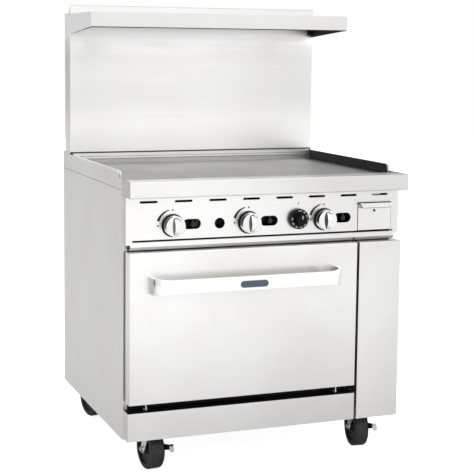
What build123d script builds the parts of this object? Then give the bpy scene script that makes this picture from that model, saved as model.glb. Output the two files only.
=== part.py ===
from build123d import *

import os
from math import cos, radians, sin

# Commercial 36 inch gas range with a full-width griddle top, one oven and a high shelf.
# Millimetres. +X to the right seen from the front, +Y to the rear, +Z up.
# The origin is on the floor, at the middle of the whole range.

os.makedirs("parts", exist_ok=True)

# ---------------------------------------------------------------- driving dimensions
T = 1.5  # stainless sheet
PLATE = 5.0  # griddle splash plate
GAP = 0.5  # gap between a sliding part and its guide

# widths
X_TOP = 457.2  # half width of the landing and the top casings, 36 inches across
X_BODY = 454.0  # half width of the body
X_GUARD = 454.0  # half width of the backguard and the shelf
X_FRAME = 452.3  # half width of the frame under the shelf
X_SPLIT_L = 300.0  # right edge of the door and of the kick panel
X_SPLIT_R = 308.0  # left edge of the right column
X_DOOR = -449.0  # left edge of the door

# depths, all measured from the face of the door
Y_FACE = -380.0
Y_LIP = Y_FACE - 34.0  # front of the landing
Y_PANEL = Y_FACE + 23.0  # front of the control panel
Y_FRAME = Y_FACE + 54.0  # front edge of the side panels
Y_SPLASH = Y_FACE + 85.0  # front edge of the griddle plate
Y_SPLASH_END = Y_FACE + 97.0  # front end of the side splashes
Y_SHELF = Y_FACE + 416.0  # front of the high shelf
Y_PLATE_BACK = Y_FACE + 690.0
Y_WEDGE = Y_FACE + 690.0  # front of the upstand behind the shelf
Y_WEDGE_END = Y_FACE + 723.0
Y_GUARD = Y_FACE + 699.0  # front of the backguard
Y_RISER = Y_FACE + 770.0  # back of the backguard
Y_CASING = Y_FACE + 776.0  # rear end of the top casings
Y_BACK = Y_FACE + 796.0  # back of the body
Y_INLET = Y_FACE + 818.0  # end of the gas inlet

# heights above the floor
Z_SIDE = 125.0
Z_KICK = (134.0, 220.0)
Z_DOOR = (244.0, 706.0)
Z_FRAME = (158.0, 198.0)
Z_BOX = 730.0  # floor of the griddle burner box
Z_LIP = 872.0
Z_SEAM = 890.0
Z_GRIDDLE = 911.0
Z_TOP = 922.0
Z_SPLASH = 943.0
Z_SPLASH_REAR = 946.5
Z_GUARD = 950.5
Z_SHELF_LIP = 1377.0
Z_SHELF_HEEL = 1354.0  # lowest point of the shelf's end faces, at the backguard
Z_SHELF = 1424.0
Z_PEAK = 1453.5
Z_CONTROL = 782.0  # centre line of the knobs and the manifold

# controls
KNOB_X = (-308.0, -63.0, 191.0)
KNOB_R = 32.0
PILOT_X = (-247.0, 5.5, 256.0)  # middles of the pilot sight slots
THERMO_X = 102.0
THERMO_Z = 787.0
STEM_R = 4.0
RUN = 0.06  # radial clearance of a running fit
MANIFOLD_R = 13.35  # 3/4 inch pipe
MANIFOLD_Y = Y_FACE + 75.0
INLET_X = 290.0
BURNER_Z = 845.0
BURNER_R = 16.0
BURNER_PITCH = 140.0

# oven
OVEN_X = (-411.0, 262.0)
OVEN_Y = (Y_FACE + 57.0, Y_FACE + 717.0)
OVEN_Z = (300.0, 651.0)
OVEN_BASE = 235.5  # top of the liner floor, below the oven floor

# casters: king pin places, trail and wheel
CASTERS = {
    "front_left": (-335.0, Y_FACE + 100.0, -6.0),
    "front_right": (375.0, Y_FACE + 100.0, 8.0),
    "rear_left": (-352.0, Y_FACE + 708.0, -14.0),
    "rear_right": (360.0, Y_FACE + 708.0, 6.0),
}
TRAIL = 36.0
WHEEL_R = 63.5
WHEEL_W = 46.0
AXLE_R = 6.0
BOLT_PITCH = 64.0
LEG_IN = 24.5  # inner face of a fork leg, from the wheel's middle
LEG_OUT = 28.0

# grease trough and its drain chute
TROUGH_X = 452.0
TROUGH_Y = (Y_FACE + 22.0, Y_FACE + 84.8)
TROUGH_Z = 890.5
DRAIN_X = (340.0, 398.0)
DRAIN_Y = (Y_FACE + 45.0, Y_FACE + 73.0)
CHUTE_Z = 832.0  # lower end of the chute

# grease drawer
DRAWER_X = (313.0, 425.0)
DRAWER_Z = (744.0, 822.0)
DRAWER_Y1 = Y_FACE + 420.0
FRONT_X = (311.0, 427.0)
FRONT_Z = (741.5, 828.5)

# door hinge line
HINGE_Y = Y_FACE + 10.0
HINGE_Z = 230.0
HINGE_X = (-396.0, 235.0)
HINGE_PIN_R = 4.0


# ---------------------------------------------------------------- helpers
def block(x, y, z, mode=Mode.ADD):
    """Box between two X, two Y and two Z values, in the part being built."""
    with Locations(((x[0] + x[1]) / 2, (y[0] + y[1]) / 2, (z[0] + z[1]) / 2)):
        Box(x[1] - x[0], y[1] - y[0], z[1] - z[0], mode=mode)


def rod_x(x, y, z, r, mode=Mode.ADD):
    """Cylinder along X between two X values."""
    with Locations(Location(((x[0] + x[1]) / 2, y, z), (0, 90, 0))):
        Cylinder(r, x[1] - x[0], mode=mode)


def rod_y(x, y, z, r, mode=Mode.ADD):
    """Cylinder along Y between two Y values."""
    with Locations(Location((x, (y[0] + y[1]) / 2, z), (90, 0, 0))):
        Cylinder(r, y[1] - y[0], mode=mode)


def rod_z(x, y, z, r, mode=Mode.ADD):
    """Cylinder along Z between two Z values."""
    with Locations((x, y, (z[0] + z[1]) / 2)):
        Cylinder(r, z[1] - z[0], mode=mode)


def side_profile(points, x):
    """Solid with a Y-Z outline, between two X values."""
    with BuildSketch(Plane.YZ.offset(x[0])) as outline:
        with BuildLine():
            Polyline(*points, close=True)
        make_face()
    extrude(outline.sketch, amount=x[1] - x[0])


def finish(builder, name):
    """Label a finished part and write it out."""
    builder.part.label = name
    export_step(builder.part, f"parts/{name}.step")


def d(depth):
    """Y of a depth measured back from the door's face."""
    return Y_FACE + depth


# ---------------------------------------------------------------- base frame
with BuildPart() as base_frame:
    with BuildSketch(Plane.XY.offset(Z_FRAME[0])):
        with Locations((0, d(423))):
            Rectangle(896, 734)
            Rectangle(816, 654, mode=Mode.SUBTRACT)
    extrude(amount=Z_FRAME[1] - Z_FRAME[0])
    with BuildSketch(Plane.XY.offset(Z_FRAME[0] + 2)):
        with Locations((0, d(423))):
            Rectangle(892, 730)
    extrude(amount=Z_FRAME[1] - Z_FRAME[0], mode=Mode.SUBTRACT)
    for stem_x, stem_y, _ in CASTERS.values():
        block((stem_x - 46, stem_x + 46), (stem_y - 41, stem_y + 54), (Z_FRAME[0], Z_FRAME[0] + 4))
    for stem_x, stem_y, _ in CASTERS.values():
        with Locations((stem_x, stem_y, Z_FRAME[0])):
            with GridLocations(BOLT_PITCH, BOLT_PITCH, 2, 2):
                Cylinder(4.5, 12, mode=Mode.SUBTRACT)
finish(base_frame, "base_frame")


PARTITION_X = 303.5  # sheet between the oven and the right column
with BuildPart() as inner_casing:
    block((-X_BODY + T + 0.5, X_BODY - T - 0.5), (d(59), d(788)), (Z_FRAME[1], Z_FRAME[1] + T))
    block((PARTITION_X, PARTITION_X + T), (d(59), d(788)), (Z_FRAME[1], 729))
finish(inner_casing, "inner_casing")

# ---------------------------------------------------------------- body skins
def side_panel(sign):
    """Side sheet with a front, a bottom and a rear return, on one side of the body."""
    inner = X_BODY - T
    spans = [
        ((inner, X_BODY), (Y_FRAME, Y_BACK - 2), (Z_SIDE, Z_SEAM - 1)),
        ((inner - 12.5, inner), (Y_FRAME, Y_FRAME + T), (Z_SIDE, Z_SEAM - 1)),
        ((inner - 12.5, inner), (Y_FRAME, Y_BACK - 2), (Z_SIDE, Z_SIDE + T)),
        ((inner - 12.5, inner), (Y_BACK - 3.5, Y_BACK - 2), (Z_SIDE, Z_SEAM - 1)),
    ]
    with BuildPart() as panel:
        for x, y, z in spans:
            block((x[0], x[1]) if sign > 0 else (-x[1], -x[0]), y, z)
    return panel


left_side_panel = side_panel(-1)
finish(left_side_panel, "left_side_panel")
right_side_panel = side_panel(1)
finish(right_side_panel, "right_side_panel")

with BuildPart() as back_panel:
    block((-X_BODY, X_BODY), (Y_BACK - 2, Y_BACK), (Z_SIDE, Z_GUARD - 2.5))
    block((-X_BODY, X_BODY), (Y_RISER + 0.3, Y_BACK), (Z_GUARD - 4, Z_GUARD - 2.5))
    for x in ((-X_BODY, -X_BODY + T), (X_BODY - T, X_BODY)):
        block(x, (Y_RISER + 0.3, Y_BACK), (Z_SEAM, Z_GUARD - 2.5))
    for vent_z, rows in ((330, 5), (640, 3)):
        with Locations(Plane((0, Y_BACK, vent_z), x_dir=(1, 0, 0), z_dir=(0, -1, 0))):
            with GridLocations(110, 22, 6, rows):
                Box(80, 6, 8, mode=Mode.SUBTRACT)
    rod_y(INLET_X, (Y_BACK - 4, Y_BACK + 2), Z_CONTROL, MANIFOLD_R + 2, Mode.SUBTRACT)
finish(back_panel, "back_panel")

with BuildPart() as kick_panel:
    block((-X_BODY, X_SPLIT_L), (Y_FACE, Y_FRAME), Z_KICK)
    block((-X_BODY + T, X_SPLIT_L - T), (Y_FACE + T, Y_FRAME + 1), (Z_KICK[0] + T, Z_KICK[1] + 1), Mode.SUBTRACT)
    fillet(kick_panel.edges().filter_by(Axis.Z).group_by(Axis.Y)[0], radius=1.2)
finish(kick_panel, "kick_panel")

with BuildPart() as right_column_panel:
    block((X_SPLIT_R, X_BODY), (Y_FACE, Y_FRAME), (Z_KICK[0], Z_DOOR[1]))
    block(
        (X_SPLIT_R + T, X_BODY - T),
        (Y_FACE + T, Y_FRAME + 1),
        (Z_KICK[0] + T, Z_DOOR[1] - T),
        Mode.SUBTRACT,
    )
    fillet(right_column_panel.edges().filter_by(Axis.Z).group_by(Axis.Y)[0], radius=1.2)
finish(right_column_panel, "right_column_panel")

# ---------------------------------------------------------------- control panel
STRIP_X = 441.0  # half width of the rolled strip under the long slot
Z_STRIP = 710.0
with BuildPart() as control_panel:
    block((-X_BODY, X_BODY), (Y_PANEL, Y_PANEL + T), (727, Z_LIP))
    block((-X_BODY, -X_BODY + T), (Y_PANEL, Y_FRAME), (727, Z_LIP))
    block((X_BODY - T, X_BODY), (Y_PANEL, Y_FRAME), (727, Z_LIP))
    block((-X_BODY, X_BODY), (Y_PANEL, d(40)), (Z_LIP - T, Z_LIP))
    side_profile(
        [
            (Y_PANEL, 728),
            (Y_PANEL, 720),
            (Y_PANEL + 9, Z_STRIP),
            (Y_FRAME - 0.2, Z_STRIP),
            (Y_FRAME - 0.2, Z_STRIP + T),
            (Y_PANEL + 9.6, Z_STRIP + T),
            (Y_PANEL + T, 720.6),
            (Y_PANEL + T, 728),
        ],
        (-STRIP_X, STRIP_X),
    )
    # long slot over the rolled strip, and the opening of the grease drawer
    block((-434, 434), (Y_PANEL - 1, Y_PANEL + 3), (734.6, 740.4), Mode.SUBTRACT)
    block((FRONT_X[0] - 2.5, FRONT_X[1] + 0.8), (Y_PANEL - 1, Y_PANEL + 3), (735, FRONT_Z[1] + 2), Mode.SUBTRACT)
    # vent slots, pilot sight slots, lighting hole and stem holes
    with BuildSketch(Plane.XZ.offset(-Y_PANEL)):
        with Locations((1.5, 854.5)):
            with GridLocations(110, 1, 8, 1):
                SlotOverall(56, 7)
        with Locations(*[(x, Z_CONTROL + 2) for x in PILOT_X]):
            SlotOverall(58, 31)
        with Locations((-157.4, Z_CONTROL + 1)):
            Circle(16.5)
        with Locations(*[(x, Z_CONTROL) for x in KNOB_X]):
            Circle(7)
        with Locations((THERMO_X, THERMO_Z)):
            Circle(7)
    extrude(amount=-T - 1, mode=Mode.SUBTRACT)
finish(control_panel, "control_panel")

# ---------------------------------------------------------------- landing, top casings, griddle
with BuildPart() as landing_ledge:
    block((-X_TOP, X_TOP), (Y_LIP, d(20)), (Z_LIP, Z_TOP))
    fillet(landing_ledge.edges().filter_by(Axis.X).group_by(Axis.Y)[0], radius=3)
    block((-X_TOP + T, X_TOP - T), (Y_LIP + T, d(20) + 1), (Z_LIP + T, Z_TOP - T), Mode.SUBTRACT)
    block((-X_TOP + T, X_TOP - T), (d(20), d(40)), (Z_LIP, Z_LIP + T))
    block((-X_TOP + T, X_TOP - T), (d(18.5), d(20)), (905, Z_TOP))
    block((-X_TOP, -X_TOP + T), (d(20), Y_FRAME), (Z_LIP, Z_TOP))
    block((X_TOP - T, X_TOP), (d(20), Y_FRAME), (Z_LIP, Z_TOP))
finish(landing_ledge, "landing_ledge")


with BuildPart() as top_casings:
    for sign in (-1, 1):
        outer = sorted((sign * (X_TOP - T), sign * X_TOP))
        over = sorted((sign * (X_BODY - 2.8), sign * (X_TOP - T)))
        rear = sorted((sign * (X_GUARD + 0.2), sign * (X_TOP - T)))
        side_profile(
            [
                (Y_FRAME + 0.2, Z_SEAM),
                (Y_CASING, Z_SEAM),
                (Y_CASING, Z_GUARD - 0.5),
                (Y_GUARD, Z_GUARD - 0.5),
                (Y_GUARD, Z_SPLASH),
                (Y_SPLASH_END + 4, Z_SPLASH),
                (Y_SPLASH_END, Z_SPLASH - 4),
                (Y_SPLASH_END, Z_TOP),
                (Y_FRAME + 0.2, Z_TOP),
            ],
            outer,
        )
        block(over, (Y_SPLASH_END + 4.5, Y_GUARD), (Z_SPLASH - T, Z_SPLASH))
        block(over, (Y_SPLASH_END + 4.5, Y_SPLASH_END + 6), (Z_TOP - 8, Z_SPLASH))
        block(rear, (Y_GUARD, Y_CASING), (Z_GUARD - 2, Z_GUARD - 0.5))
finish(top_casings, "top_casings")

with BuildPart() as griddle_plate:
    block((-446, 446), (Y_SPLASH, Y_PLATE_BACK - 5), (Z_GRIDDLE - 19, Z_GRIDDLE))
    fillet(griddle_plate.edges().filter_by(Axis.X).group_by(Axis.Y)[0].group_by(Axis.Z)[-1], radius=3)
finish(griddle_plate, "griddle_plate")

with BuildPart() as griddle_side_splashes:
    for side in ((-446 - PLATE, -446), (446, 446 + PLATE)):
        block(side, (Y_SPLASH_END, Y_PLATE_BACK + 3.5), (Z_GRIDDLE - 19, Z_SPLASH))
    fillet(griddle_side_splashes.edges().filter_by(Axis.X).group_by(Axis.Y)[0], radius=12)
finish(griddle_side_splashes, "griddle_side_splashes")

with BuildPart() as griddle_rear_splash:
    block((-446, 446), (Y_PLATE_BACK, Y_PLATE_BACK + 3.5), (Z_GRIDDLE - 19, Z_SPLASH_REAR))
    block((-446, 446), (Y_PLATE_BACK - 5, Y_PLATE_BACK), (Z_GRIDDLE - 19, Z_GRIDDLE + 17))
finish(griddle_rear_splash, "griddle_rear_splash")

with BuildPart() as grease_trough:
    block((-TROUGH_X, TROUGH_X), TROUGH_Y, (TROUGH_Z, TROUGH_Z + 26))
    block(
        (-TROUGH_X + T, TROUGH_X - T),
        (TROUGH_Y[0] + T, TROUGH_Y[1] - T),
        (TROUGH_Z + T, TROUGH_Z + 27),
        Mode.SUBTRACT,
    )
    block(DRAIN_X, DRAIN_Y, (TROUGH_Z - 1, TROUGH_Z + 2), Mode.SUBTRACT)
    with BuildSketch(Plane.XY.offset(CHUTE_Z)):
        with Locations(((DRAIN_X[0] + DRAIN_X[1]) / 2, (DRAIN_Y[0] + DRAIN_Y[1]) / 2)):
            Rectangle(DRAIN_X[1] - DRAIN_X[0] + 2 * T, DRAIN_Y[1] - DRAIN_Y[0] + 2 * T)
            Rectangle(DRAIN_X[1] - DRAIN_X[0], DRAIN_Y[1] - DRAIN_Y[0], mode=Mode.SUBTRACT)
    extrude(amount=TROUGH_Z + T - CHUTE_Z)
finish(grease_trough, "grease_trough")

# ---------------------------------------------------------------- backguard and high shelf
with BuildPart() as backguard_front:
    block((-X_GUARD, X_GUARD), (Y_GUARD, Y_GUARD + T), (Z_GUARD, Z_SHELF - T))
    for x in ((-X_GUARD, -X_GUARD + T), (X_GUARD - T, X_GUARD)):
        block(x, (Y_GUARD, Y_RISER - T), (Z_GUARD, Z_SHELF - T))
        block(x, (Y_GUARD + 6, Y_RISER - T), (900, Z_GUARD))
finish(backguard_front, "backguard_front")

with BuildPart() as backguard_back:
    block((-X_GUARD, X_GUARD), (Y_RISER - T, Y_RISER), (900, Z_SHELF))
    block((-X_GUARD, X_GUARD), (Y_WEDGE_END + 2, Y_RISER), (Z_SHELF - T, Z_SHELF))
    with Locations((0, (Y_WEDGE_END + Y_RISER) / 2, Z_SHELF)):
        with GridLocations(105, 1, 8, 1):
            Box(90, 26, 8, mode=Mode.SUBTRACT)
finish(backguard_back, "backguard_back")

with BuildPart() as high_shelf:
    side_profile(
        [
            (Y_WEDGE, Z_SHELF - 1),
            (Y_WEDGE, Z_PEAK),
            (Y_WEDGE + 2, Z_PEAK),
            (Y_WEDGE_END, Z_SHELF - 1),
        ],
        (-X_GUARD, X_GUARD),
    )
    with BuildSketch(Plane.YZ.offset(-X_GUARD + T)):
        with BuildLine():
            Polyline(
                (Y_WEDGE + T, Z_SHELF),
                (Y_WEDGE + T, Z_PEAK - 3),
                (Y_WEDGE_END - 3, Z_SHELF),
                close=True,
            )
        make_face()
    extrude(amount=2 * (X_GUARD - T), mode=Mode.SUBTRACT)
    block((-X_GUARD, X_GUARD), (Y_SHELF, Y_WEDGE_END), (Z_SHELF - T, Z_SHELF))
    block((-X_GUARD, X_GUARD), (Y_SHELF, Y_SHELF + T), (Z_SHELF_LIP, Z_SHELF))
    for x in ((-X_GUARD, -X_GUARD + T), (X_GUARD - T, X_GUARD)):
        side_profile(
            [
                (Y_SHELF + 0.5, Z_SHELF_LIP),
                (Y_SHELF + 0.5, Z_SHELF - 0.5),
                (Y_GUARD, Z_SHELF - 0.5),
                (Y_GUARD, Z_SHELF_HEEL),
            ],
            x,
        )
finish(high_shelf, "high_shelf")

# black frame under the shelf: an end bracket each side and a channel behind the lip
with BuildPart() as shelf_support_frame:
    for x, flange in (
        ((-X_FRAME, -X_FRAME + 2.5), (-X_FRAME, -X_FRAME + 18)),
        ((X_FRAME - 2.5, X_FRAME), (X_FRAME - 18, X_FRAME)),
    ):
        side_profile(
            [
                (Y_SHELF + T + 0.1, Z_SHELF_LIP - 2),
                (Y_SHELF + T + 0.1, Z_SHELF - T - 0.1),
                (Y_GUARD, Z_SHELF - T - 0.1),
                (Y_GUARD, Z_SHELF_HEEL + 0.5),
            ],
            x,
        )
        block(flange, (Y_GUARD - 2.5, Y_GUARD), (Z_SHELF_HEEL + 8, Z_SHELF - T - 0.1))
    block((-X_FRAME, X_FRAME), (Y_SHELF + T + 0.1, Y_SHELF + 13), (Z_SHELF_LIP - 2.5, Z_SHELF_LIP))
    block((-X_FRAME, X_FRAME), (Y_SHELF + 11, Y_SHELF + 13), (Z_SHELF_LIP - 2.5, Z_SHELF_LIP + 12))
finish(shelf_support_frame, "shelf_support_frame")

# ---------------------------------------------------------------- griddle burner box and gas train
with BuildPart() as burner_box:
    block((-446, 446), (d(60), Y_PLATE_BACK), (Z_BOX, Z_BOX + T))
    for x in ((-446, -446 + T), (446 - T, 446)):
        block(x, (d(86), Y_PLATE_BACK), (Z_BOX, Z_GRIDDLE - 19))
    block((-446, 446), (Y_PLATE_BACK - T, Y_PLATE_BACK), (Z_BOX, Z_GRIDDLE - 19))
    with Locations(Plane((0, Y_PLATE_BACK, 862), x_dir=(1, 0, 0), z_dir=(0, -1, 0))):
        with GridLocations(140, 1, 6, 1):
            Box(110, 30, 8, mode=Mode.SUBTRACT)
    rod_y(INLET_X, (Y_PLATE_BACK - 4, Y_PLATE_BACK + 2), Z_CONTROL, MANIFOLD_R + 2, Mode.SUBTRACT)
finish(burner_box, "burner_box")

with BuildPart() as griddle_burners:
    for x in KNOB_X:
        far = x + BURNER_PITCH
        turn_y = d(560)
        with BuildLine() as route:
            inlet = Line((x, d(70), BURNER_Z), (x, turn_y, BURNER_Z))
            bend = ThreePointArc(
                inlet @ 1,
                (x + BURNER_PITCH / 2, turn_y + BURNER_PITCH / 2, BURNER_Z),
                (far, turn_y, BURNER_Z),
            )
            Line(bend @ 1, (far, d(120), BURNER_Z))
        with BuildSketch(Plane((x, d(70), BURNER_Z), x_dir=(1, 0, 0), z_dir=(0, 1, 0))):
            Circle(BURNER_R)
            Circle(BURNER_R - T, mode=Mode.SUBTRACT)
        sweep(path=route.wires()[0])
        rod_y(far, (d(118), d(120)), BURNER_Z, BURNER_R)
finish(griddle_burners, "griddle_burners")

with BuildPart() as gas_manifold:
    with BuildLine() as pipe_run:
        FilletPolyline(
            (-400, MANIFOLD_Y, Z_CONTROL),
            (INLET_X, MANIFOLD_Y, Z_CONTROL),
            (INLET_X, Y_BACK, Z_CONTROL),
            radius=30,
        )
    with BuildSketch(Plane((-400, MANIFOLD_Y, Z_CONTROL), z_dir=(1, 0, 0))):
        Circle(MANIFOLD_R)
        Circle(10.5, mode=Mode.SUBTRACT)
    sweep(path=pipe_run.wires()[0])
    rod_x((-404, -400), MANIFOLD_Y, Z_CONTROL, MANIFOLD_R)
    rod_y(INLET_X, (Y_BACK, Y_BACK + 2), Z_CONTROL, MANIFOLD_R - 1)
    rod_y(INLET_X, (Y_BACK + 2, Y_INLET), Z_CONTROL, MANIFOLD_R)
    rod_y(INLET_X, (Y_BACK - 2, Y_INLET + 1), Z_CONTROL, 10.5, Mode.SUBTRACT)
finish(gas_manifold, "gas_manifold")

VALVE_FRONT = d(30)
VALVE_BACK = MANIFOLD_Y - MANIFOLD_R - 0.15
with BuildPart() as burner_valves:
    for x in KNOB_X:
        rod_y(x, (VALVE_FRONT, VALVE_BACK), Z_CONTROL, 11)
        rod_z(x, d(46), (Z_CONTROL, BURNER_Z + 6), 6)
        rod_y(x, (d(46), d(67)), BURNER_Z, 5)
    for x in KNOB_X:
        rod_y(x, (VALVE_FRONT - 1, d(48)), Z_CONTROL, STEM_R + RUN, Mode.SUBTRACT)
finish(burner_valves, "burner_valves")

with BuildPart() as thermostat_valve:
    block((THERMO_X - 20, THERMO_X + 20), (d(32), VALVE_BACK), (Z_CONTROL - 20, Z_CONTROL + 18))
    chamfer(thermostat_valve.edges().filter_by(Axis.Y), length=4)
    rod_y(THERMO_X, (d(31), d(48)), THERMO_Z, STEM_R + RUN, Mode.SUBTRACT)
finish(thermostat_valve, "thermostat_valve")

with BuildPart() as pilot_valves:
    for x in PILOT_X:
        rod_y(x + 9.5, (d(38), VALVE_BACK), Z_CONTROL - 1, 8)
        rod_y(x + 9.5, (d(34), d(38)), Z_CONTROL - 1, 5)
        block((x + 7, x + 12), (d(40), d(44)), (Z_CONTROL, Z_CONTROL + 40))
    # shield of the first pilot, beside its valve
    block((PILOT_X[0] + 17, PILOT_X[0] + 31), (d(38), d(40)), (Z_CONTROL - 18, Z_CONTROL + 22))
    block((PILOT_X[0] + 9, PILOT_X[0] + 31), (d(40), d(44)), (Z_CONTROL - 18, Z_CONTROL - 14))
    block((PILOT_X[0] + 9, PILOT_X[0] + 13), (d(40), d(44)), (Z_CONTROL - 18, Z_CONTROL - 1))
finish(pilot_valves, "pilot_valves")

# ---------------------------------------------------------------- knobs
BEZEL_H = 6.0
BEZEL_R = 35.0
with BuildPart() as knob_bezels:
    for x in KNOB_X:
        rod_y(x, (Y_PANEL - BEZEL_H, Y_PANEL), Z_CONTROL, BEZEL_R)
    fillet(knob_bezels.faces().filter_by(Axis.Y).group_by(Axis.Y)[0].edges(), radius=2)
    for x in KNOB_X:
        rod_y(x, (Y_PANEL - BEZEL_H - 1, Y_PANEL + 1), Z_CONTROL, STEM_R + 1.5, Mode.SUBTRACT)
finish(knob_bezels, "knob_bezels")

KNOB_BACK = Y_PANEL - BEZEL_H - 0.6
KNOB_FACE = Y_PANEL - 33.0
KNOB_GRIP = Y_PANEL - 48.0


def burner_knob(x):
    """Round knob with an arched grip across its face and its valve stem."""
    with BuildPart() as knob:
        with BuildSketch(Plane.XZ.offset(-KNOB_BACK)):
            with Locations((x, Z_CONTROL)):
                Circle(KNOB_R)
        extrude(amount=KNOB_BACK - KNOB_FACE, taper=2)
        fillet(knob.faces().sort_by(Axis.Y)[0].edges(), radius=3)
        with BuildSketch(Plane.YZ.offset(x)):
            with BuildLine():
                crown = ThreePointArc(
                    (KNOB_FACE + 2, Z_CONTROL - KNOB_R + 2.5),
                    (KNOB_GRIP, Z_CONTROL),
                    (KNOB_FACE + 2, Z_CONTROL + KNOB_R - 2.5),
                )
                Line(crown @ 1, crown @ 0)
            make_face()
        extrude(amount=6, both=True, taper=12)
        rod_y(x, (KNOB_BACK, d(47)), Z_CONTROL, STEM_R)
    return knob


for number, knob_x in enumerate(KNOB_X, start=1):
    finish(burner_knob(knob_x), f"burner_knob_{number}")

with BuildPart() as thermostat_knob:
    with BuildSketch(Plane.XZ.offset(-(Y_PANEL - 1.5))):
        with Locations((THERMO_X, THERMO_Z)):
            Circle(32)
    extrude(amount=15, taper=3)
    fillet(thermostat_knob.faces().sort_by(Axis.Y)[0].edges(), radius=2)
    with BuildSketch(Plane.XZ.offset(-(Y_PANEL - 16))):
        with Locations((THERMO_X, THERMO_Z)):
            Circle(17)
    extrude(amount=23, taper=3)
    fillet(thermostat_knob.faces().sort_by(Axis.Y)[0].edges(), radius=2)
    rod_y(THERMO_X, (Y_PANEL - 2, d(47)), THERMO_Z, STEM_R)
finish(thermostat_knob, "thermostat_knob")

# ---------------------------------------------------------------- grease drawer
with BuildPart() as grease_drawer:
    block(DRAWER_X, (Y_PANEL + T, DRAWER_Y1), DRAWER_Z)
    block(
        (DRAWER_X[0] + T, DRAWER_X[1] - T),
        (Y_PANEL + 2 * T, DRAWER_Y1 - T),
        (DRAWER_Z[0] + T, DRAWER_Z[1] + 1),
        Mode.SUBTRACT,
    )
finish(grease_drawer, "grease_drawer")

with BuildPart() as grease_drawer_front:
    block(FRONT_X, (Y_PANEL, Y_PANEL + T), FRONT_Z)
    block(FRONT_X, (Y_PANEL - 14, Y_PANEL), (FRONT_Z[1] - T, FRONT_Z[1]))
    with BuildSketch(Plane.XZ.offset(-(Y_PANEL - 14))):
        with BuildLine():
            Polyline(
                (FRONT_X[0], FRONT_Z[1]),
                (FRONT_X[1], FRONT_Z[1]),
                (FRONT_X[1] - 12, FRONT_Z[1] - 16),
                (FRONT_X[0] + 12, FRONT_Z[1] - 16),
                close=True,
            )
        make_face()
    extrude(amount=T)
    rod_y(368, (Y_PANEL - 2, Y_PANEL), 803, 3.2)
finish(grease_drawer_front, "grease_drawer_front")

with BuildPart() as drawer_rails:
    for web, shelf in (
        ((DRAWER_X[0] - 2.8, DRAWER_X[0] - 1), (DRAWER_X[0] - 2.8, DRAWER_X[0] + 9)),
        ((DRAWER_X[1] + 1, DRAWER_X[1] + 2.8), (DRAWER_X[1] - 9, DRAWER_X[1] + 2.8)),
    ):
        block(web, (d(60), d(430)), (Z_BOX + T, DRAWER_Z[0] + 16))
        block(shelf, (d(60), d(430)), (DRAWER_Z[0] - GAP - 2, DRAWER_Z[0] - GAP))
finish(drawer_rails, "drawer_rails")

# ---------------------------------------------------------------- oven
LINER_X = (OVEN_X[0] - T, OVEN_X[1] + T)
LINER_Y = (OVEN_Y[0], OVEN_Y[1] + T)
LINER_Z = (OVEN_BASE - T, OVEN_Z[1] + T)
VENT_X = -75.0
DUCT_Y = (Y_FACE + 740.2, Y_FACE + 767.0)
with BuildPart() as oven_liner:
    block(LINER_X, LINER_Y, LINER_Z)
    block(OVEN_X, (OVEN_Y[0] - 1, OVEN_Y[1]), (OVEN_BASE, OVEN_Z[1]), Mode.SUBTRACT)
    rod_y(VENT_X, (OVEN_Y[1] - 2, OVEN_Y[1] + 4), 610, 30, Mode.SUBTRACT)
finish(oven_liner, "oven_liner")

with BuildPart() as oven_insulation:
    block((-X_BODY + T + 1, PARTITION_X - 1), (OVEN_Y[0] + 1, DUCT_Y[0] - 0.2), (Z_FRAME[1] + T, 728))
    block(LINER_X, (OVEN_Y[0] - 1, LINER_Y[1]), LINER_Z, Mode.SUBTRACT)
    rod_y(VENT_X, (OVEN_Y[1] - 2, DUCT_Y[0] + 1), 610, 30, Mode.SUBTRACT)
finish(oven_insulation, "oven_insulation")

with BuildPart() as oven_floor:
    block((OVEN_X[0] + T, OVEN_X[1] - T), (OVEN_Y[0] + 1, OVEN_Y[1] - 1), (OVEN_Z[0] - T, OVEN_Z[0]))
    block((OVEN_X[0] + T, OVEN_X[1] - T), (OVEN_Y[0] + 1, OVEN_Y[0] + 1 + T), (OVEN_BASE, OVEN_Z[0]))
    block((OVEN_X[0] + T, OVEN_X[1] - T), (OVEN_Y[1] - 1 - T, OVEN_Y[1] - 1), (OVEN_BASE, OVEN_Z[0]))
    for x in (OVEN_X[0] + 24, OVEN_X[1] - 24):
        with Locations((x, (OVEN_Y[0] + OVEN_Y[1]) / 2, OVEN_Z[0])):
            with GridLocations(1, 110, 1, 5):
                Box(12, 80, 8, mode=Mode.SUBTRACT)
finish(oven_floor, "oven_floor")

with BuildPart() as oven_burner:
    rod_y(VENT_X, (d(64), d(620)), 266, 15)
    rod_y(VENT_X, (d(60), d(618)), 266, 13.5, Mode.SUBTRACT)
    block((VENT_X - 45, VENT_X + 45), (d(120), d(600)), (281.2, 283))
    block((VENT_X - 2, VENT_X + 2), (d(120), d(600)), (279, 282))
finish(oven_burner, "oven_burner")

GUIDE_LEDGES = (370.0, 450.0, 530.0)
with BuildPart() as rack_guides:
    for plate, ledge in (
        ((OVEN_X[0], OVEN_X[0] + T), (OVEN_X[0], OVEN_X[0] + 14)),
        ((OVEN_X[1] - T, OVEN_X[1]), (OVEN_X[1] - 14, OVEN_X[1])),
    ):
        block(plate, (d(90), d(700)), (340, 600))
        for z in GUIDE_LEDGES:
            block(ledge, (d(90), d(700)), (z - 2, z))
finish(rack_guides, "rack_guides")

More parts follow.
